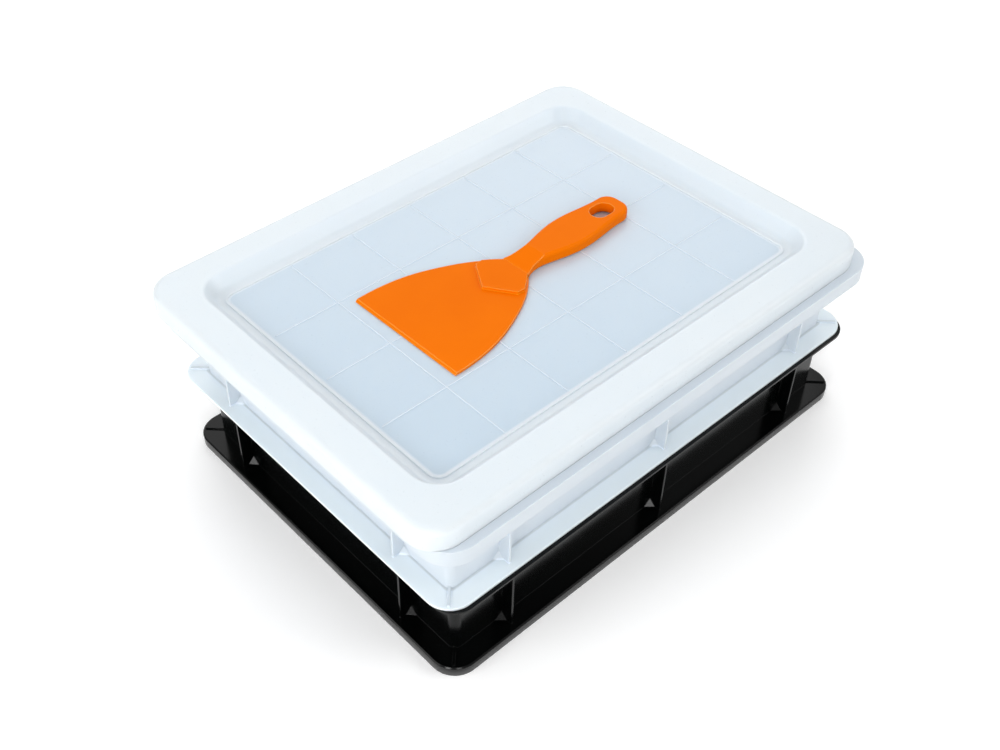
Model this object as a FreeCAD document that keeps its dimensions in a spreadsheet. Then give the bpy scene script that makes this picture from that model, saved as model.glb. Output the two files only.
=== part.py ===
import FreeCAD, Part
import os
import Sketcher

Vec = FreeCAD.Vector

# A kit of two stacking trays, a lid and a scraper. Millimetres, +Z up, the black
# tray's underside centred on the origin, long sides along X.
doc = FreeCAD.newDocument("tray_kit")
sheet = doc.addObject("Spreadsheet::Sheet", "sizes")

values = [
    ("flange_length", 400.0),
    ("flange_width", 293.6),
    ("flange_radius", 18.4),
    ("flange_plate", 2.2),
    ("lip_height", 7.7),
    ("lip_thick", 2.4),
    ("wall_inset", 14.8),
    ("wall_thick", 2.4),
    ("wall_radius", 6.0),
    ("floor_thick", 2.4),
    ("floor_fillet", 4.0),
    ("black_height", 65.0),
    ("black_rim_plate", 1.8),
    ("black_rim_inset", 1.0),
    ("clear_height", 62.7),
    ("clear_plate", 1.8),
    ("clear_shift_x", -0.4),
    ("clear_shift_y", 3.6),
    ("foot_depth", 3.0),
    ("foot_gap", 5.0),
    ("foot_thick", 2.2),
    ("band_out", 5.4),
    ("band_depth", 12.2),
    ("band_thick", 2.2),
    ("band_plate", 2.2),
    ("band_radius", 22.0),
    ("rib_thick", 1.8),
    ("rib_reach", 9.0),
    ("rib_long_pos", 143.5),
    ("rib_short_pos", 89.0),
    ("corner_rib_height", 1.3),
    ("corner_rib_reach", 15.0),
    ("fill_size", 7.0),
    ("lid_length", 408.0),
    ("lid_width", 301.4),
    ("lid_radius", 21.7),
    ("lid_height", 17.3),
    ("lid_wall", 2.2),
    ("lid_shift_x", -6.6),
    ("lid_shift_y", 4.6),
    ("ring_width", 25.0),
    ("recess_run", 8.0),
    ("panel_depth", 10.3),
    ("panel_thick", 2.2),
    ("lid_edge_round", 5.0),
    ("ring_round", 3.0),
    ("panel_cove", 6.0),
    ("bead_inset", 5.2),
    ("bead_width", 1.6),
    ("bead_height", 0.7),
    ("scraper_x", -105.8),
    ("scraper_y", 6.2),
    ("scraper_angle", 1.0),
    ("blade_width", 100.0),
    ("scraper_length", 211.0),
    ("blade_thick", 2.0),
    ("edge_bevel", 1.4),
    ("boss_thick", 4.2),
    ("handle_thick", 9.0),
    ("handle_lift", 1.2),
    ("handle_round", 2.6),
    ("handle_swell", 32.0),
    ("handle_neck", 19.0),
    ("handle_end", 26.0),
    ("end_round", 10.0),
    ("slope_from", 103.0),
    ("slope_to", 123.0),
    ("hole_length", 20.0),
    ("hole_width", 14.4),
    ("hole_margin", 10.0),
]
cell = {}
for row, (alias, number) in enumerate(values, start=1):
    sheet.set("A%d" % row, alias)
    sheet.set("B%d" % row, repr(number))
    sheet.setAlias("B%d" % row, alias)
    cell[alias] = number
doc.recompute()


def plane(body, role):
    for feature in body.Origin.OriginFeatures:
        if feature.Role == role:
            return feature


def new_sketch(body, name, height):
    sketch = body.newObject("Sketcher::SketchObject", name)
    sketch.AttachmentSupport = [(plane(body, "XY_Plane"), "")]
    sketch.MapMode = "FlatFace"
    sketch.setExpression("AttachmentOffset.Base.z", height)
    return sketch


def bind(sketch, constraint, expression):
    index = sketch.addConstraint(constraint)
    name = "size_%d" % index
    sketch.renameConstraint(index, name)
    sketch.setExpression("Constraints." + name, expression)


# A rounded rectangle about the origin, its length, width and corner radius bound to the sheet.
def rounded_loop(sketch, length, width, radius):
    a = float(sheet.evalExpression(length)) / 2
    b = float(sheet.evalExpression(width)) / 2
    r = float(sheet.evalExpression(radius))
    quarter = 1.5707963267948966
    up = Vec(0, 0, 1)
    start = sketch.GeometryCount
    corners = [(a - r, -b + r, 3), (a - r, b - r, 0), (-a + r, b - r, 1), (-a + r, -b + r, 2)]
    ends = [
        (Vec(-a + r, -b, 0), Vec(a - r, -b, 0)),
        (Vec(a, -b + r, 0), Vec(a, b - r, 0)),
        (Vec(a - r, b, 0), Vec(-a + r, b, 0)),
        (Vec(-a, b - r, 0), Vec(-a, -b + r, 0)),
    ]
    for (p, q), (cx, cy, turn) in zip(ends, corners):
        sketch.addGeometry(Part.LineSegment(p, q), False)
        circle = Part.Circle(Vec(cx, cy, 0), up, r)
        sketch.addGeometry(Part.ArcOfCircle(circle, turn * quarter, (turn + 1) * quarter), False)
    for step in range(8):
        here = start + step
        after = start + (step + 1) % 8
        sketch.addConstraint(Sketcher.Constraint("Tangent", here, 2, after, 1))
    sketch.addConstraint(Sketcher.Constraint("Horizontal", start))
    sketch.addConstraint(Sketcher.Constraint("Vertical", start + 2))
    sketch.addConstraint(Sketcher.Constraint("Horizontal", start + 4))
    sketch.addConstraint(Sketcher.Constraint("Vertical", start + 6))
    for arc in (3, 5, 7):
        sketch.addConstraint(Sketcher.Constraint("Equal", start + 1, start + arc))
    bind(sketch, Sketcher.Constraint("Radius", start + 1, r), radius)
    bind(sketch, Sketcher.Constraint("DistanceX", -1, 1, start + 2, 1, a), "(%s) / 2" % length)
    bind(sketch, Sketcher.Constraint("DistanceX", start + 6, 1, -1, 1, a), "(%s) / 2" % length)
    bind(sketch, Sketcher.Constraint("DistanceY", -1, 1, start + 4, 1, b), "(%s) / 2" % width)
    bind(sketch, Sketcher.Constraint("DistanceY", start, 1, -1, 1, b), "(%s) / 2" % width)


def rounded_sketch(body, name, height, *loops):
    sketch = new_sketch(body, name, height)
    for length, width, radius in loops:
        rounded_loop(sketch, length, width, radius)
    return sketch


def extrude(body, kind, name, sketch, length, backwards=False):
    feature = body.newObject("PartDesign::" + kind, name)
    feature.Profile = sketch
    feature.setExpression("Length", length)
    feature.Reversed = backwards
    sketch.Visibility = False
    doc.recompute()
    return feature


def edges_where(feature, test):
    found = []
    for index, edge in enumerate(feature.Shape.Edges, start=1):
        if test(edge.BoundBox):
            found.append("Edge%d" % index)
    return found


def round_edges(body, name, test, radius):
    base = body.Tip
    feature = body.newObject("PartDesign::Fillet", name)
    feature.Base = (base, edges_where(base, test))
    feature.setExpression("Radius", radius)
    doc.recompute()
    return feature


def cut_edges(body, name, test, size):
    base = body.Tip
    feature = body.newObject("PartDesign::Chamfer", name)
    feature.Base = (base, edges_where(base, test))
    feature.setExpression("Size", size)
    doc.recompute()
    return feature


def level(box, height):
    return abs(box.ZMin - height) < 1e-4 and abs(box.ZMax - height) < 1e-4


# A box of given size with one corner at a bound place, used for the upright ribs.
def rib_box(name, length, width, height, x, y, z, angle=None):
    box = doc.addObject("Part::Box", name)
    box.setExpression("Length", length)
    box.setExpression("Width", width)
    box.setExpression("Height", height)
    box.setExpression("Placement.Base.x", x)
    box.setExpression("Placement.Base.y", y)
    box.setExpression("Placement.Base.z", z)
    if angle is not None:
        box.Placement.Rotation = FreeCAD.Rotation(Vec(0, 0, 1), angle)
    return box


# A three-sided fill in the corner where a rib, the wall and the flange meet.
def corner_fill(x, y, z, along_x, along_y, tall):
    foot = Vec(x, y, z)
    first = foot + Vec(along_x, 0, 0)
    second = foot + Vec(0, along_y, 0)
    if along_x * along_y < 0:
        first, second = second, first
    top = foot + Vec(0, 0, tall)
    faces = []
    for ring in ((foot, second, first), (foot, first, top), (foot, top, second), (first, second, top)):
        faces.append(Part.Face(Part.makePolygon(list(ring) + [ring[0]])))
    return Part.makeSolid(Part.makeShell(faces))


wall_long = "sizes.flange_length - 2 * sizes.wall_inset"
wall_wide = "sizes.flange_width - 2 * sizes.wall_inset"
inside_long = wall_long + " - 2 * sizes.wall_thick"
inside_wide = wall_wide + " - 2 * sizes.wall_thick"
inside_radius = "max(sizes.wall_radius - sizes.wall_thick; 2)"
outline = ("sizes.flange_length", "sizes.flange_width", "sizes.flange_radius")
wall_loop = (wall_long, wall_wide, "sizes.wall_radius")
inside_loop = (inside_long, inside_wide, inside_radius)


def inset(loop, amount):
    length, width, radius = loop
    return (
        "%s - 2 * (%s)" % (length, amount),
        "%s - 2 * (%s)" % (width, amount),
        "max(%s - (%s); 2)" % (radius, amount),
    )


# Ribs stand on the flange and reach the rim: three on each long side, two on each short side.
def tray_ribs(prefix, foot, head):
    pieces = []
    tall = "%s - (%s)" % (head, foot)
    root = "(sizes.wall_thick / 2)"
    deep = "sizes.rib_reach + " + root
    half = "sizes.rib_thick / 2"
    for side in (-1, 1):
        for mark, place in (("a", "-sizes.rib_long_pos"), ("b", "0"), ("c", "sizes.rib_long_pos")):
            near = "(%s) / 2 - %s" % (wall_wide, root)
            if side < 0:
                near = "-(%s) - (%s)" % (near, deep)
            name = "%s_rib_long_%s_%d" % (prefix, mark, side + 1)
            pieces.append(rib_box(name, "sizes.rib_thick", deep, tall, "%s - %s" % (place, half), near, foot))
        for mark, place in (("a", "-sizes.rib_short_pos"), ("b", "sizes.rib_short_pos")):
            near = "(%s) / 2 - %s" % (wall_long, root)
            if side < 0:
                near = "-(%s) - (%s)" % (near, deep)
            name = "%s_rib_short_%s_%d" % (prefix, mark, side + 1)
            pieces.append(rib_box(name, deep, "sizes.rib_thick", tall, near, "%s - %s" % (place, half), foot))
    return pieces


# A low ridge runs out over each corner of the flange at forty-five degrees.
def corner_ridges(prefix, foot):
    pieces = []
    shift = "sizes.rib_thick * 0.35355"
    back = "(%s) / 2 - sizes.wall_radius * 0.293 - 0.8"
    for sx, sy, angle in ((1, 1, 45), (-1, 1, 135), (-1, -1, 225), (1, -1, 315)):
        x = "%d * (%s)" % (sx, back % wall_long)
        y = "%d * (%s)" % (sy, back % wall_wide)
        turn_x = "+" if sy > 0 else "-"
        turn_y = "-" if sx > 0 else "+"
        name = "%s_ridge_%d" % (prefix, angle)
        ridge = rib_box(name, "sizes.corner_rib_reach", "sizes.rib_thick", "sizes.corner_rib_height",
                        "%s %s %s" % (x, turn_x, shift), "%s %s %s" % (y, turn_y, shift), foot, angle)
        pieces.append(ridge)
    return pieces


def tray_fills(name, foot):
    size = cell["fill_size"]
    dip = 0.6
    wall_x = cell["flange_length"] / 2 - cell["wall_inset"] - dip
    wall_y = cell["flange_width"] / 2 - cell["wall_inset"] - dip
    solids = []
    for side in (-1, 1):
        for turn in (-1, 1):
            for place in (-cell["rib_long_pos"], 0.0, cell["rib_long_pos"]):
                solids.append(corner_fill(place, side * wall_y, foot - dip,
                                          turn * (size + cell["rib_thick"] / 2), side * size, size))
            for place in (-cell["rib_short_pos"], cell["rib_short_pos"]):
                solids.append(corner_fill(side * wall_x, place, foot - dip,
                                          side * size, turn * (size + cell["rib_thick"] / 2), size))
    feature = doc.addObject("Part::Feature", name)
    feature.Shape = Part.makeCompound(solids)
    return feature


def join(label, pieces):
    fuse = doc.addObject("Part::MultiFuse", label)
    fuse.Shapes = pieces
    fuse.Refine = True
    fuse.Label = label
    return fuse


# Black tray: lipped base flange, upright wall, thin flat rim.
black = doc.addObject("PartDesign::Body", "black_shell")
extrude(black, "Pad", "black_base", rounded_sketch(black, "black_base_s", "0", outline), "sizes.lip_height")
channel = rounded_sketch(black, "black_channel_s", "0", inset(outline, "sizes.lip_thick"), wall_loop)
extrude(black, "Pocket", "black_channel", channel, "sizes.lip_height - sizes.flange_plate", True)
extrude(black, "Pad", "black_wall", rounded_sketch(black, "black_wall_s", "0", wall_loop), "sizes.black_height")
black_rim = rounded_sketch(black, "black_rim_s", "sizes.black_height - sizes.black_rim_plate",
                           inset(outline, "sizes.black_rim_inset"))
extrude(black, "Pad", "black_rim", black_rim, "sizes.black_rim_plate")
black_inside = rounded_sketch(black, "black_inside_s", "sizes.black_height", inside_loop)
extrude(black, "Pocket", "black_inside", black_inside, "sizes.black_height - sizes.floor_thick")
round_edges(black, "black_floor_round", lambda box: level(box, cell["floor_thick"]), "sizes.floor_fillet")
cut_edges(
    black, "black_lip_edge",
    lambda box: level(box, cell["lip_height"]) and (
        max(abs(box.XMax), abs(box.XMin)) > cell["flange_length"] / 2 - 1e-3
        or max(abs(box.YMax), abs(box.YMin)) > cell["flange_width"] / 2 - 1e-3),
    "sizes.lip_thick * 0.35")
black_parts = [black]
black_parts += tray_ribs("black", "sizes.lip_height", "(sizes.black_height - sizes.black_rim_plate)")
black_parts += corner_ridges("black", "sizes.lip_height")
black_parts.append(tray_fills("black_fills", cell["lip_height"]))
black_tray = join("black_tray", black_parts)

# Clear tray: plain base flange with a locating foot below it, deep rim band.
clear = doc.addObject("PartDesign::Body", "clear_shell")
extrude(clear, "Pad", "clear_base", rounded_sketch(clear, "clear_base_s", "0", outline), "sizes.clear_plate")
extrude(clear, "Pad", "clear_wall", rounded_sketch(clear, "clear_wall_s", "0", wall_loop), "sizes.clear_height")
band_loop = (
    "sizes.flange_length + 2 * sizes.band_out",
    "sizes.flange_width + 2 * sizes.band_out",
    "sizes.band_radius",
)
band = rounded_sketch(clear, "clear_band_s", "sizes.clear_height - sizes.band_depth", band_loop)
extrude(clear, "Pad", "clear_band", band, "sizes.band_depth")
hollow = rounded_sketch(clear, "clear_hollow_s", "sizes.clear_height - sizes.band_depth",
                        inset(band_loop, "sizes.band_thick"), wall_loop)
extrude(clear, "Pocket", "clear_hollow", hollow, "sizes.band_depth - sizes.band_plate", True)
foot_loop = inset(inside_loop, "sizes.foot_gap")
foot = rounded_sketch(clear, "clear_foot_s", "0", foot_loop, inset(foot_loop, "sizes.foot_thick"))
extrude(clear, "Pad", "clear_foot", foot, "sizes.foot_depth", True)
clear_inside = rounded_sketch(clear, "clear_inside_s", "sizes.clear_height", inside_loop)
extrude(clear, "Pocket", "clear_inside", clear_inside, "sizes.clear_height - sizes.floor_thick")
round_edges(clear, "clear_floor_round", lambda box: level(box, cell["floor_thick"]), "sizes.floor_fillet")
clear_parts = [clear]
clear_parts += tray_ribs("clear", "sizes.clear_plate", "(sizes.clear_height - sizes.band_plate)")
clear_parts += corner_ridges("clear", "sizes.clear_plate")
clear_parts.append(tray_fills("clear_fills", cell["clear_plate"]))
clear_tray = join("clear_tray", clear_parts)
clear_tray.setExpression("Placement.Base.x", "sizes.clear_shift_x")
clear_tray.setExpression("Placement.Base.y", "sizes.clear_shift_y")
clear_tray.setExpression("Placement.Base.z", "sizes.black_height")

# Lid: raised hollow ring round a recessed panel.
lid = doc.addObject("PartDesign::Body", "lid")
lid_loop = ("sizes.lid_length", "sizes.lid_width", "sizes.lid_radius")
ring_loop = (
    "sizes.lid_length - 2 * sizes.ring_width",
    "sizes.lid_width - 2 * sizes.ring_width",
    "sizes.lid_radius",
)
panel_loop = inset(ring_loop, "sizes.recess_run")
extrude(lid, "Pad", "lid_block", rounded_sketch(lid, "lid_block_s", "0", lid_loop), "sizes.lid_height")
round_edges(lid, "lid_edge", lambda box: level(box, cell["lid_height"]), "sizes.lid_edge_round")
recess_top = rounded_sketch(lid, "recess_top_s", "sizes.lid_height", ring_loop)
recess_low = rounded_sketch(lid, "recess_low_s", "sizes.lid_height - sizes.panel_depth", panel_loop)
recess = lid.newObject("PartDesign::SubtractiveLoft", "lid_recess")
recess.Profile = recess_top
recess.Sections = [recess_low]
recess.Ruled = True
doc.recompute()
ring_edge = cell["lid_length"] / 2 - cell["ring_width"] + 0.01
panel_level = cell["lid_height"] - cell["panel_depth"]
round_edges(lid, "ring_round", lambda box: level(box, cell["lid_height"])
            and max(abs(box.XMin), abs(box.XMax)) < ring_edge, "sizes.ring_round")
round_edges(lid, "panel_cove", lambda box: level(box, panel_level), "sizes.panel_cove")
bead_loop = inset(panel_loop, "sizes.bead_inset")
bead = rounded_sketch(lid, "lid_bead_s", "sizes.lid_height - sizes.panel_depth", bead_loop,
                      inset(bead_loop, "sizes.bead_width"))
extrude(lid, "Pad", "lid_bead", bead, "sizes.bead_height")
ring_hollow = rounded_sketch(lid, "lid_hollow_s", "0", inset(lid_loop, "sizes.lid_wall"), (
    "sizes.lid_length - 2 * (sizes.ring_width - sizes.lid_wall)",
    "sizes.lid_width - 2 * (sizes.ring_width - sizes.lid_wall)",
    "sizes.lid_radius",
))
extrude(lid, "Pocket", "lid_hollow", ring_hollow, "sizes.lid_height - sizes.lid_wall", True)
under = rounded_sketch(lid, "lid_under_s", "0", ring_loop)
extrude(lid, "Pocket", "lid_under", under, "sizes.lid_height - sizes.panel_depth - sizes.panel_thick", True)
lid.Label = "lid"
lid.setExpression("Placement.Base.x", "sizes.clear_shift_x + sizes.lid_shift_x")
lid.setExpression("Placement.Base.y", "sizes.clear_shift_y + sizes.lid_shift_y")
lid.setExpression("Placement.Base.z", "sizes.black_height + sizes.clear_height")

# Scraper: thin flaring blade, raised step and a thick handle with a hanging hole.
reach = cell["scraper_length"]
half_blade = cell["blade_width"] / 2
half_neck = cell["handle_neck"] / 2
half_swell = cell["handle_swell"] / 2
blade_side = [(0.0, 1.0), (0.105, 0.985), (0.213, 0.9), (0.322, 0.725), (0.431, 0.47)]
side = [Vec(reach * u, half_blade * v, 0) for u, v in blade_side]
side += [Vec(reach * 0.49, half_neck * 1.32, 0), Vec(reach * 0.56, half_neck, 0)]
grip = [(0.62, 0.74), (0.69, 0.94), (0.78, 1.0), (0.88, 0.86)]
side += [Vec(reach * u, half_swell * v, 0) for u, v in grip]
half_end = cell["handle_end"] / 2
end_radius = cell["end_round"]
side.append(Vec(reach - end_radius, half_end, 0))


def mirrored(points):
    return [Vec(p.x, -p.y, 0) for p in reversed(points)]


def side_curve(points):
    curve = Part.BSplineCurve()
    curve.interpolate(points)
    return curve


# Two like sides, a handle end with two round corners and a straight line across the start.
def closed_profile(sketch, points):
    quarter = 1.5707963267948966
    middle = half_end - end_radius
    low_turn = Part.Circle(Vec(reach - end_radius, -middle, 0), Vec(0, 0, 1), end_radius)
    high_turn = Part.Circle(Vec(reach - end_radius, middle, 0), Vec(0, 0, 1), end_radius)
    lower = mirrored(points)
    lower.reverse()
    sketch.addGeometry(side_curve(lower), False)
    sketch.addGeometry(Part.ArcOfCircle(low_turn, -quarter, 0), False)
    sketch.addGeometry(Part.LineSegment(Vec(reach, -middle, 0), Vec(reach, middle, 0)), False)
    sketch.addGeometry(Part.ArcOfCircle(high_turn, 0, quarter), False)
    sketch.addGeometry(side_curve(list(reversed(points))), False)
    sketch.addGeometry(Part.LineSegment(points[0], lower[0]), False)
    for step in range(6):
        sketch.addConstraint(Sketcher.Constraint("Coincident", step, 2, (step + 1) % 6, 1))


scraper = doc.addObject("PartDesign::Body", "scraper")
blade = new_sketch(scraper, "blade_s", "0")
blade_low = mirrored(side[:6])
blade_low.reverse()
blade.addGeometry(side_curve(blade_low), False)
blade.addGeometry(Part.LineSegment(blade_low[-1], side[5]), False)
blade.addGeometry(side_curve(list(reversed(side[:6]))), False)
blade.addGeometry(Part.LineSegment(side[0], blade_low[0]), False)
for step in range(4):
    blade.addConstraint(Sketcher.Constraint("Coincident", step, 2, (step + 1) % 4, 1))
extrude(scraper, "Pad", "blade", blade, "sizes.blade_thick")
handle = new_sketch(scraper, "handle_s", "sizes.handle_lift")
closed_profile(handle, side[5:])
extrude(scraper, "Pad", "handle", handle, "sizes.handle_thick - sizes.handle_lift")
round_edges(scraper, "handle_round",
            lambda box: level(box, cell["handle_thick"]) and box.XMax > reach * 0.6, "sizes.handle_round")
# The handle rises from the step to its full thickness along a slope, cut straight across.
slope = scraper.newObject("Sketcher::SketchObject", "slope_s")
slope.AttachmentSupport = [(plane(scraper, "XZ_Plane"), "")]
slope.MapMode = "FlatFace"
above = cell["handle_thick"] * 1.5
rise = [
    Vec(cell["slope_from"], cell["boss_thick"], 0),
    Vec(cell["slope_to"], cell["handle_thick"], 0),
    Vec(cell["slope_to"], above, 0),
    Vec(cell["slope_from"], above, 0),
]
for here, after in zip(rise, rise[1:] + rise[:1]):
    slope.addGeometry(Part.LineSegment(here, after), False)
for step in range(4):
    slope.addConstraint(Sketcher.Constraint("Coincident", step, 2, (step + 1) % 4, 1))
slope.addConstraint(Sketcher.Constraint("Vertical", 1))
slope.addConstraint(Sketcher.Constraint("Horizontal", 2))
slope.addConstraint(Sketcher.Constraint("Vertical", 3))
bind(slope, Sketcher.Constraint("DistanceX", -1, 1, 0, 1, cell["slope_from"]), "sizes.slope_from")
bind(slope, Sketcher.Constraint("DistanceY", -1, 1, 0, 1, cell["boss_thick"]), "sizes.boss_thick")
bind(slope, Sketcher.Constraint("DistanceX", -1, 1, 0, 2, cell["slope_to"]), "sizes.slope_to")
bind(slope, Sketcher.Constraint("DistanceY", -1, 1, 0, 2, cell["handle_thick"]), "sizes.handle_thick")
bind(slope, Sketcher.Constraint("DistanceY", -1, 1, 1, 2, above), "sizes.handle_thick * 1.5")
slope_cut = extrude(scraper, "Pocket", "handle_slope", slope, "sizes.blade_width")
slope_cut.SideType = "Symmetric"
doc.recompute()
boss = new_sketch(scraper, "boss_s", "0")
boss_half = [(0.335, 0.0), (0.4, 0.42), (0.43, 0.43), (0.46, 0.335), (0.49, 0.23), (0.51, 0.15)]
boss_points = [Vec(reach * u, half_blade * v, 0) for u, v in boss_half]
boss_points += [Vec(p.x, -p.y, 0) for p in reversed(boss_points[1:])]
for here, after in zip(boss_points, boss_points[1:] + boss_points[:1]):
    boss.addGeometry(Part.LineSegment(here, after), False)
for step in range(len(boss_points)):
    boss.addConstraint(Sketcher.Constraint("Coincident", step, 2, (step + 1) % len(boss_points), 1))
extrude(scraper, "Pad", "boss", boss, "sizes.boss_thick")

cut_edges(scraper, "blade_bevel", lambda box: level(box, cell["blade_thick"]) and box.XMax < 1e-3
          and box.YLength > half_blade, "sizes.edge_bevel")
hole = new_sketch(scraper, "hole_s", "sizes.handle_thick")
hole_r = cell["hole_width"] / 2
hole_end = reach - cell["hole_margin"] - hole_r
hole_start = hole_end - cell["hole_length"] + 2 * hole_r
hole.addGeometry(Part.LineSegment(Vec(hole_start, -hole_r, 0), Vec(hole_end, -hole_r, 0)), False)
hole.addGeometry(Part.ArcOfCircle(Part.Circle(Vec(hole_end, 0, 0), Vec(0, 0, 1), hole_r),
                                  -1.5707963, 1.5707963), False)
hole.addGeometry(Part.LineSegment(Vec(hole_end, hole_r, 0), Vec(hole_start, hole_r, 0)), False)
hole.addGeometry(Part.ArcOfCircle(Part.Circle(Vec(hole_start, 0, 0), Vec(0, 0, 1), hole_r),
                                  1.5707963, 4.7123890), False)
for step in range(4):
    hole.addConstraint(Sketcher.Constraint("Tangent", step, 2, (step + 1) % 4, 1))
hole.addConstraint(Sketcher.Constraint("Horizontal", 0))
hole.addConstraint(Sketcher.Constraint("PointOnObject", 1, 3, -1))
bind(hole, Sketcher.Constraint("Radius", 1, hole_r), "sizes.hole_width / 2")
bind(hole, Sketcher.Constraint("DistanceX", -1, 1, 1, 3, hole_end),
     "sizes.scraper_length - sizes.hole_margin - sizes.hole_width / 2")
bind(hole, Sketcher.Constraint("DistanceX", 3, 3, 1, 3, hole_end - hole_start),
     "sizes.hole_length - sizes.hole_width")
extrude(scraper, "Pocket", "hang_hole", hole, "sizes.handle_thick + 1")
scraper.Label = "scraper"
scraper.setExpression("Placement.Base.x", "sizes.scraper_x")
scraper.setExpression("Placement.Base.y", "sizes.scraper_y")
scraper.setExpression("Placement.Base.z",
                      "sizes.black_height + sizes.clear_height + sizes.lid_height - sizes.panel_depth")
scraper.setExpression("Placement.Rotation.Angle", "sizes.scraper_angle")
doc.recompute()

nodes = [black_tray, clear_tray, lid, scraper]
for item in doc.Objects:
    if "Invalid" in item.State or "Error" in item.State:
        raise RuntimeError("%s did not build: %s" % (item.Name, item.State))
for node in nodes:
    if node.Shape.isNull() or not node.Shape.isValid():
        raise RuntimeError("%s has no valid shape" % node.Label)
    if len(node.Shape.Solids) != 1:
        raise RuntimeError("%s is not one solid" % node.Label)

os.makedirs("parts", exist_ok=True)
for node in nodes:
    node.Shape.exportStep("parts/%s.step" % node.Label)
    box = node.Shape.BoundBox
    print(node.Label, [round(v, 2) for v in (box.XMin, box.XMax, box.YMin, box.YMax, box.ZMin, box.ZMax)])
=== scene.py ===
import math

import bpy
from mathutils import Matrix, Vector


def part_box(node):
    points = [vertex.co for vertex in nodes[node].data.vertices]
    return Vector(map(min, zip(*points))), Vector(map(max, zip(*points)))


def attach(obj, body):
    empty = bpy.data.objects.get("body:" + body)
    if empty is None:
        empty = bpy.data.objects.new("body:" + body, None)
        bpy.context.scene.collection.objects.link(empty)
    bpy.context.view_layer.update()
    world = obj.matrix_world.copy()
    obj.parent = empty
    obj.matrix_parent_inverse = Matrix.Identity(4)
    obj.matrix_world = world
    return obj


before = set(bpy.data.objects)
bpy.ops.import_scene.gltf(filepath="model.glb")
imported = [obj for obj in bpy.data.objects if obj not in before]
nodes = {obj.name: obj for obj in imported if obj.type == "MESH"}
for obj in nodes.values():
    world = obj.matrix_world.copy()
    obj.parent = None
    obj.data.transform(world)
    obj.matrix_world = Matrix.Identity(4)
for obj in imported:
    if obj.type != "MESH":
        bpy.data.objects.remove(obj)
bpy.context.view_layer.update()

mm = 0.001
print("frame loaded:", sorted(nodes))


class Wire:  # a shader socket that takes part in Python sums
    def __init__(self, tree, socket):
        self.tree = tree
        self.socket = socket

    # adds a node: its settings first, then the values or links of its sockets
    def node(self, kind, settings=None, values=None, out=0):
        made = self.tree.nodes.new(kind)
        for key, value in (settings or {}).items():
            if key == "stops":
                while len(made.color_ramp.elements) < len(value):
                    made.color_ramp.elements.new(1.0)
                for stop, (place, colour) in zip(made.color_ramp.elements, value):
                    stop.position = place
                    stop.color = colour
            else:
                setattr(made, key, value)
        for key, value in (values or {}).items():
            if isinstance(value, Wire):
                self.tree.links.new(value.socket, made.inputs[key])
            else:
                made.inputs[key].default_value = value
        return Wire(self.tree, made.outputs[out] if len(made.outputs) else None)

    def pick(self, output):  # another output of the same node
        return Wire(self.tree, self.socket.node.outputs[output])

    def maths(self, operation, first, second):
        return self.node("ShaderNodeMath", {"operation": operation}, {0: first, 1: second})

    def __add__(self, other):
        return self.maths("ADD", self, other)

    def __radd__(self, other):
        return self.maths("ADD", other, self)

    def __sub__(self, other):
        return self.maths("SUBTRACT", self, other)

    def __rsub__(self, other):
        return self.maths("SUBTRACT", other, self)

    def __mul__(self, other):
        return self.maths("MULTIPLY", self, other)

    def __rmul__(self, other):
        return self.maths("MULTIPLY", other, self)


def startMaterial(name):
    material = bpy.data.materials.new(name)
    material.use_nodes = True
    tree = material.node_tree
    tree.nodes.clear()
    return material, Wire(tree, None)


def mixTone(sheet, factor, first, second):  # sockets 6 and 7 are the two colours, output 2 the mix
    return sheet.node("ShaderNodeMix", {"data_type": "RGBA"}, {"Factor": factor, 6: first, 7: second}, out=2)


def alongWay(sheet, first, second):  # how far one vector runs along another
    return sheet.node("ShaderNodeVectorMath", {"operation": "DOT_PRODUCT"},
                      {0: first, 1: second}, out="Value")


# distance out from a rounded rectangle's edge, in plan: negative inside, zero on the edge
def edgeDistance(sheet, place, centre, half, radius):
    parts = sheet.node("ShaderNodeSeparateXYZ", None, {"Vector": place})
    squares = []
    for axis, middle, reach in (("X", centre.x, half[0]), ("Y", centre.y, half[1])):
        away = sheet.node("ShaderNodeMath", {"operation": "ABSOLUTE"}, {0: parts.pick(axis) - middle})
        over = sheet.maths("MAXIMUM", away - (reach - radius), 0.0)
        squares.append(over * over)
    root = sheet.node("ShaderNodeMath", {"operation": "SQRT"}, {0: squares[0] + squares[1]})
    return root - radius


def heightOf(sheet, place):
    return sheet.node("ShaderNodeSeparateXYZ", None, {"Vector": place}, out="Z")


def ramp(sheet, value, low, high):  # 0 at low, 1 at high, held at both ends
    return sheet.node("ShaderNodeMapRange", {"clamp": True},
                      {"Value": value, "From Min": low, "From Max": high, "To Min": 0.0, "To Max": 1.0})


plastic = {  # what all the mouldings share
    "ior": 1.49, "driftDetail": 3.0, "grainDetail": 2.0, "toneStops": (0.3, 0.7), "grainDepth": 0.4 * mm,
    "edgeSamples": 4, "turnSpan": (0.995, 0.93), "coatRough": 0.15,
}


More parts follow.
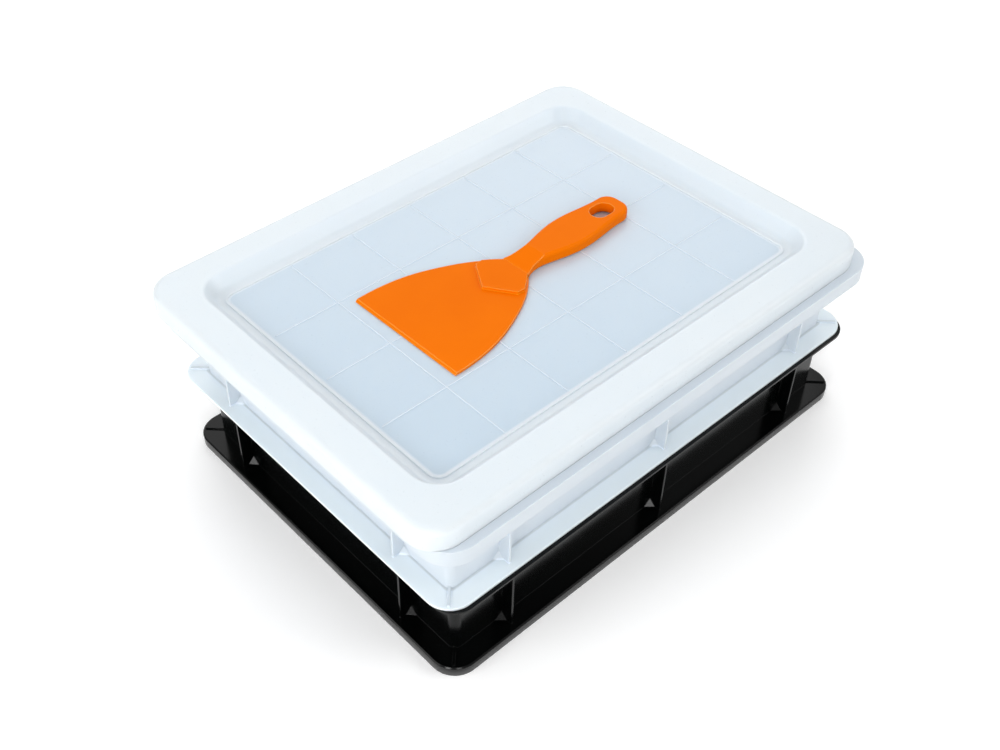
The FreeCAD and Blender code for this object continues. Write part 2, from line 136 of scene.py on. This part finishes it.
# moulded polypropylene: two tones drifting into each other, a fine grain in the gloss,
# edges softened, and zones where the tone changes to paint in light and shade
def mouldedPlastic(name, look, zones=()):
    material, sheet = startMaterial(name)
    place = sheet.node("ShaderNodeTexCoord", out="Object")
    drift = sheet.node("ShaderNodeTexNoise", {"noise_dimensions": "3D"},
                       {"Vector": place, "Scale": look["driftScale"], "Detail": plastic["driftDetail"]})
    grain = sheet.node("ShaderNodeTexNoise", {"noise_dimensions": "3D"},
                       {"Vector": place, "Scale": look["grainScale"], "Detail": plastic["grainDetail"]})
    stops = list(zip(plastic["toneStops"], (look["toneA"], look["toneB"])))
    tone = sheet.node("ShaderNodeValToRGB", {"stops": stops}, {"Fac": drift})
    alpha = look.get("alpha", 1.0)
    for zone in zones:
        mask = zone["mask"](sheet, place)
        tone = mixTone(sheet, mask, tone, zone["tone"])
        if "alpha" in zone:
            alpha = alpha + mask * (zone["alpha"] - alpha)
    edge = sheet.node("ShaderNodeBevel", {"samples": plastic["edgeSamples"]}, {"Radius": look["edgeRound"]})
    bump = sheet.node("ShaderNodeBump", None, {
        "Strength": look["bump"], "Distance": plastic["grainDepth"], "Height": grain, "Normal": edge})
    values = {
        "Base Color": tone,
        "Roughness": look["rough"] + (grain - 0.5) * look["roughDrift"],
        "IOR": plastic["ior"],
        "Specular IOR Level": look["shine"],
        "Normal": bump,
    }
    if "alpha" in look:
        values["Alpha"] = alpha
    if "edgeShine" in look:  # a painted highlight, paler where the surface turns, and a polished coat there
        flat = sheet.node("ShaderNodeNewGeometry", out="Normal")
        turned = ramp(sheet, alongWay(sheet, edge, flat), *plastic["turnSpan"])
        values["Base Color"] = mixTone(sheet, turned * look["edgeHighlightShare"], tone, look["edgeHighlightTone"])
        values["Coat Weight"] = turned * look["edgeShine"]
        values["Coat Roughness"] = plastic["coatRough"]
    if "scatter" in look:
        values["Subsurface Weight"] = 1.0
        values["Subsurface Radius"] = (1.0, 1.0, 1.0)
        values["Subsurface Scale"] = look["scatter"]
    shader = sheet.node("ShaderNodeBsdfPrincipled", None, values)
    sheet.node("ShaderNodeOutputMaterial", None, {"Surface": shader})
    return material


def dress(node, material):
    nodes[node].data.materials.clear()
    nodes[node].data.materials.append(material)
    print("dressed", node)


def planOf(node):  # centre and half size of a node's box
    low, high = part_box(node)
    return (low + high) / 2, (high - low) / 2


# black tray
blackTray = {
    "toneA": (0.0008, 0.0010, 0.0010, 1), "toneB": (0.0014, 0.0018, 0.0018, 1),
    "driftScale": 14.0, "grainScale": 900.0, "rough": 0.16, "roughDrift": 0.06, "bump": 0.02,
    "shine": 0.18, "edgeRound": 0.6 * mm,
    # the lip's tone below is a painted reflection of the floor's light
    "lipReflectionTone": (0.085, 0.085, 0.085, 1), "lipHeight": 7.0 * mm,
}


def paintedLipReflection(sheet, place):  # painted reflection of the floor's light on the lip's upright face, paler towards its foot
    return 1.0 - ramp(sheet, heightOf(sheet, place), 0.0, blackTray["lipHeight"])


lip = {"mask": paintedLipReflection, "tone": blackTray["lipReflectionTone"]}
dress("black_tray", mouldedPlastic("blackPlastic", blackTray, [lip]))


# clear tray
clearTray = {
    "toneA": (0.635, 0.695, 0.745, 1), "toneB": (0.66, 0.715, 0.76, 1),
    "driftScale": 9.0, "grainScale": 700.0, "rough": 0.3, "roughDrift": 0.04, "bump": 0.008,
    "alpha": 0.96, "shine": 0.4, "edgeRound": 0.6 * mm, "scatter": 1.0 * mm,
    # the flange's paler tone is painted light against the lid's shade, and its thin rim a painted highlight
    "flangeLightTone": (0.82, 0.89, 1.0, 1), "flangeAlpha": 0.99, "flangeShare": 0.9,
    "flangeTop": 67.2 * mm, "flangeWidth": 13.0 * mm, "fade": 1.0 * mm,
    "rimFrom": 1.1 * mm, "rimTo": 0.4 * mm,  # the painted highlight along the rim, inwards from the flange's edge
    "bandOut": 5.4 * mm, "corner": 18.4 * mm,
}


def paintedFlangeLight(sheet, place):  # painted light: the flange painted paler where it lies in shade under the lid, and a painted highlight as a thin bright rim round its edge
    centre, half = planOf("clear_tray")
    flangeHalf = (half.x - clearTray["bandOut"], half.y - clearTray["bandOut"])
    out = edgeDistance(sheet, place, centre, flangeHalf, clearTray["corner"])
    top, width, fade = clearTray["flangeTop"], clearTray["flangeWidth"], clearTray["fade"]
    low = 1.0 - ramp(sheet, heightOf(sheet, place), top, top + fade)
    ledge = low * ramp(sheet, out, -width - fade, -width)
    rimHighlight = ramp(sheet, out, -clearTray["rimFrom"], -clearTray["rimTo"])
    share = clearTray["flangeShare"]
    return ledge * (share + rimHighlight * (1.0 - share))


flange = {"mask": paintedFlangeLight, "tone": clearTray["flangeLightTone"], "alpha": clearTray["flangeAlpha"]}
dress("clear_tray", mouldedPlastic("naturalPlastic", clearTray, [flange]))


# lid
lidSheet = {
    "toneA": (0.785, 0.855, 0.945, 1), "toneB": (0.805, 0.87, 0.955, 1),
    "driftScale": 8.0, "grainScale": 700.0, "rough": 0.28, "roughDrift": 0.03, "bump": 0.006,
    "alpha": 0.86, "shine": 0.55, "edgeRound": 0.8 * mm, "scatter": 2.5 * mm,
    # the panel's tone is painted shade of the tray's inside seen through, paled towards the far corner by a
    # painted sheen
    "panelShadeTone": (0.63, 0.745, 0.85, 1), "panelAlpha": 0.78,
    "panelIn": 33.0 * mm, "corner": 14.0 * mm, "beadIn": 7.5 * mm, "fade": 1.5 * mm,
    "sheenWay": (0.67, 0.74, 0.0), "sheenSpan": (-150 * mm, 200 * mm), "sheenShare": 0.5,
}


def panelShadeAndSheen(sheet, place):  # the thinner panel inside the bead, with painted shade where the tray's shaded inside shows through, and a painted sheen paling it towards the far corner
    centre, half = planOf("lid")
    panelHalf = (half.x - lidSheet["panelIn"], half.y - lidSheet["panelIn"])
    out = edgeDistance(sheet, place, centre, panelHalf, lidSheet["corner"])
    bead = -lidSheet["beadIn"]
    inside = 1.0 - ramp(sheet, out, bead - lidSheet["fade"], bead)
    far = ramp(sheet, alongWay(sheet, place, lidSheet["sheenWay"]), *lidSheet["sheenSpan"])
    return inside * (1.0 - lidSheet["sheenShare"] * far)


panel = {"mask": panelShadeAndSheen, "tone": lidSheet["panelShadeTone"], "alpha": lidSheet["panelAlpha"]}
dress("lid", mouldedPlastic("naturalLid", lidSheet, [panel]))


# scraper
orangeTool = {
    "toneA": (0.81, 0.155, 0.0, 1), "toneB": (0.84, 0.169, 0.0, 1),
    "driftScale": 20.0, "grainScale": 800.0, "rough": 0.3, "roughDrift": 0.08, "bump": 0.03,
    "shine": 0.02, "edgeRound": 1.2 * mm,
    # the edges' paler tone is a painted highlight, and the coat polishes them
    "edgeShine": 1.0, "edgeHighlightTone": (1.0, 0.40, 0.01, 1), "edgeHighlightShare": 0.7,
}
dress("scraper", mouldedPlastic("orangePlastic", orangeTool))


# fine raised lines moulded on the lid's panel, one row each way
lineLook = {
    "toneA": (0.82, 0.90, 0.985, 1), "toneB": (0.85, 0.92, 0.99, 1),
    "driftScale": 8.0, "grainScale": 700.0, "rough": 0.35, "roughDrift": 0.1, "bump": 0.02,
    "alpha": 0.55, "shine": 0.4, "edgeRound": 0.1 * mm,
}
lineMaterial = mouldedPlastic("lidLine", lineLook)
panelLines = {
    "panelTop": 10.3 * mm,  # below the ring's top
    "sunk": 0.05 * mm,
    "longWay": {"count": 3, "pitch": 55.7 * mm, "length": 322 * mm, "width": 1.1 * mm, "height": 0.30 * mm},
    "crossWay": {"count": 5, "pitch": 54.4 * mm, "length": 218 * mm, "width": 1.1 * mm, "height": 0.36 * mm},
}


def lineTree():
    tree = bpy.data.node_groups.new("panelLines", "GeometryNodeTree")
    face = tree.interface
    for name, kind in (("Geometry", "NodeSocketGeometry"), ("Count", "NodeSocketInt"),
                       ("Pitch", "NodeSocketFloat"), ("Line Size", "NodeSocketVector"),
                       ("Material", "NodeSocketMaterial")):
        face.new_socket(name, in_out="INPUT", socket_type=kind)
    face.new_socket("Geometry", in_out="OUTPUT", socket_type="NodeSocketGeometry")
    start = tree.nodes.new("NodeGroupInput")
    end = tree.nodes.new("NodeGroupOutput")
    row = tree.nodes.new("GeometryNodeMeshLine")
    row.mode = "OFFSET"
    step = tree.nodes.new("ShaderNodeCombineXYZ")
    bar = tree.nodes.new("GeometryNodeMeshCube")
    copies = tree.nodes.new("GeometryNodeInstanceOnPoints")
    real = tree.nodes.new("GeometryNodeRealizeInstances")
    paint = tree.nodes.new("GeometryNodeSetMaterial")
    join = tree.links.new
    join(start.outputs["Count"], row.inputs["Count"])
    join(start.outputs["Pitch"], step.inputs["Y"])
    join(step.outputs["Vector"], row.inputs["Offset"])
    join(start.outputs["Line Size"], bar.inputs["Size"])
    join(row.outputs["Mesh"], copies.inputs["Points"])
    join(bar.outputs["Mesh"], copies.inputs["Instance"])
    join(copies.outputs["Instances"], real.inputs["Geometry"])
    join(real.outputs["Geometry"], paint.inputs["Geometry"])
    join(start.outputs["Material"], paint.inputs["Material"])
    join(paint.outputs["Geometry"], end.inputs["Geometry"])
    return tree


# runs a tree once, keeps its plain mesh and puts it on a body
def growPiece(name, tree, settings, place, body):
    holder = bpy.data.objects.new(name + "Grow", bpy.data.meshes.new(name + "Grow"))
    bpy.context.scene.collection.objects.link(holder)
    modifier = holder.modifiers.new(name, "NODES")
    modifier.node_group = tree
    sockets = {item.name: item.identifier for item in tree.interface.items_tree if item.in_out == "INPUT"}
    for key, value in settings.items():
        modifier[sockets[key]] = value
    graph = bpy.context.evaluated_depsgraph_get()
    mesh = bpy.data.meshes.new_from_object(holder.evaluated_get(graph), depsgraph=graph)
    holder.modifiers.clear()
    bpy.data.objects.remove(holder)
    mesh.transform(place)
    piece = bpy.data.objects.new(name, mesh)
    bpy.context.scene.collection.objects.link(piece)
    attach(piece, body)


lidCentre, lidHalf = planOf("lid")
lineFoot = lidCentre.z + lidHalf.z - panelLines["panelTop"] - panelLines["sunk"]
lineGrow = lineTree()
for key, turn in (("longWay", 0.0), ("crossWay", math.pi / 2)):
    way = panelLines[key]
    settings = {"Count": way["count"], "Pitch": way["pitch"], "Material": lineMaterial,
                "Line Size": (way["length"], way["width"], way["height"])}
    centre = Vector((lidCentre.x, lidCentre.y, lineFoot + way["height"] / 2))
    first = Vector((0, -way["pitch"] * (way["count"] - 1) / 2, 0))
    place = Matrix.Translation(centre) @ Matrix.Rotation(turn, 4, "Z") @ Matrix.Translation(first)
    growPiece("lidLines_" + key, lineGrow, settings, place, "cover")
print("panel lines laid")


# floor: lit paper near the trays, running out to white far off
stageLook = {
    "floor": 40.0, "below": 0.2 * mm, "seenTone": (1.1, 1.1, 1.1, 1), "litTone": (0.85, 0.85, 0.85, 1),
    "fadeFrom": 0.8, "fadeTo": 1.6, "world": 0.58,
}
floorMaterial, sheet = startMaterial("paleFloor")
ray = sheet.node("ShaderNodeLightPath")
rayKinds = ("Is Camera Ray", "Is Glossy Ray", "Is Transmission Ray")
straight, mirrored, through = (ray.pick(kind) for kind in rayKinds)
seen = sheet.maths("MINIMUM", straight + mirrored + through, 1.0)
paperTone = mixTone(sheet, seen, stageLook["litTone"], stageLook["seenTone"])
paper = sheet.node("ShaderNodeBsdfDiffuse", None, {"Color": paperTone})
spot = sheet.node("ShaderNodeTexCoord", out="Object")
away = sheet.node("ShaderNodeVectorMath", {"operation": "LENGTH"}, {0: spot}, out="Value")
far = ramp(sheet, away, stageLook["fadeFrom"], stageLook["fadeTo"]) * straight
white = sheet.node("ShaderNodeEmission", None, {"Color": (1, 1, 1, 1), "Strength": 1.0})
ground = sheet.node("ShaderNodeMixShader", None, {"Fac": far, 1: paper, 2: white})
sheet.node("ShaderNodeOutputMaterial", None, {"Surface": ground})
floorMesh = bpy.data.meshes.new("floor")
reach = stageLook["floor"] / 2
floorCorners = [(-reach, -reach, 0), (reach, -reach, 0), (reach, reach, 0), (-reach, reach, 0)]
floorMesh.from_pydata(floorCorners, [], [(0, 1, 2, 3)])
floorMesh.materials.append(floorMaterial)
floor = bpy.data.objects.new("floor", floorMesh)
floor.location.z = -stageLook["below"]
bpy.context.scene.collection.objects.link(floor)

world = bpy.data.worlds.new("studio")
bpy.context.scene.world = world
world.use_nodes = True
world.node_tree.nodes.clear()
sky = Wire(world.node_tree, None)
straightUp = sky.node("ShaderNodeLightPath", out="Is Camera Ray")
glow = sky.node("ShaderNodeBackground", None, {
    "Color": (1, 1, 1, 1), "Strength": stageLook["world"] + straightUp * (1.0 - stageLook["world"])})
sky.node("ShaderNodeOutputWorld", None, {"Surface": glow})

lamps = {  # place in metres, watts, size in metres
    "overhead": {"at": (-0.3, 0.3, 2.1), "watts": 3.4, "size": 1.8},
    "backSoft": {"at": (1.15, 1.4, 1.3), "watts": 15.2, "size": 1.9},
    "leftFront": {"at": (-1.31, -0.66, 0.66), "watts": 6.0, "size": 0.35},
    "rightFront": {"at": (-0.77, -1.23, 0.67), "watts": 3.3, "size": 0.35},
    "rightSide": {"at": (1.3, -1.4, 1.4), "watts": 13.0, "size": 1.2},
    "leftSide": {"at": (-1.8, 0.5, 0.9), "watts": 11.0, "size": 1.2},
}
lampAim = Vector((0, 0, 0.08))  # the middle of the stack
for name, look in lamps.items():
    data = bpy.data.lights.new(name, "AREA")
    data.energy = look["watts"]
    data.size = look["size"]
    lamp = bpy.data.objects.new(name, data)
    lamp.location = look["at"]
    lamp.rotation_euler = (lampAim - lamp.location).to_track_quat("-Z", "Y").to_euler()
    bpy.context.scene.collection.objects.link(lamp)

shot = {  # solved from the trays' straight edges; pixels are of the 1000 by 750 photograph
    "focalPixels": 1232.15, "centrePixels": (463.8, 363.53), "frame": (1000, 750), "sensor": 36.0,
    "at": (-0.48042, -0.47065, 0.67243),
    "right": (0.74404738, -0.66812609, -0.00101487),
    "down": (-0.45467618, -0.50522832, -0.73349432),
    "ahead": (0.48955395, 0.54621597, -0.67969482),
}
cameraData = bpy.data.cameras.new("camera")
wide, high = shot["frame"]
cameraData.sensor_width = shot["sensor"]
cameraData.lens = shot["focalPixels"] / wide * shot["sensor"]
cameraData.shift_x = (wide / 2 - shot["centrePixels"][0]) / wide
cameraData.shift_y = (shot["centrePixels"][1] - high / 2) / wide
camera = bpy.data.objects.new("camera", cameraData)
right, down, ahead = (Vector(shot[key]) for key in ("right", "down", "ahead"))
turn = Matrix((right, -down, -ahead)).transposed()
camera.matrix_world = Matrix.Translation(Vector(shot["at"])) @ turn.to_4x4()
bpy.context.scene.collection.objects.link(camera)
bpy.context.scene.camera = camera
bpy.context.scene.view_settings.view_transform = "Standard"
print("stage set")
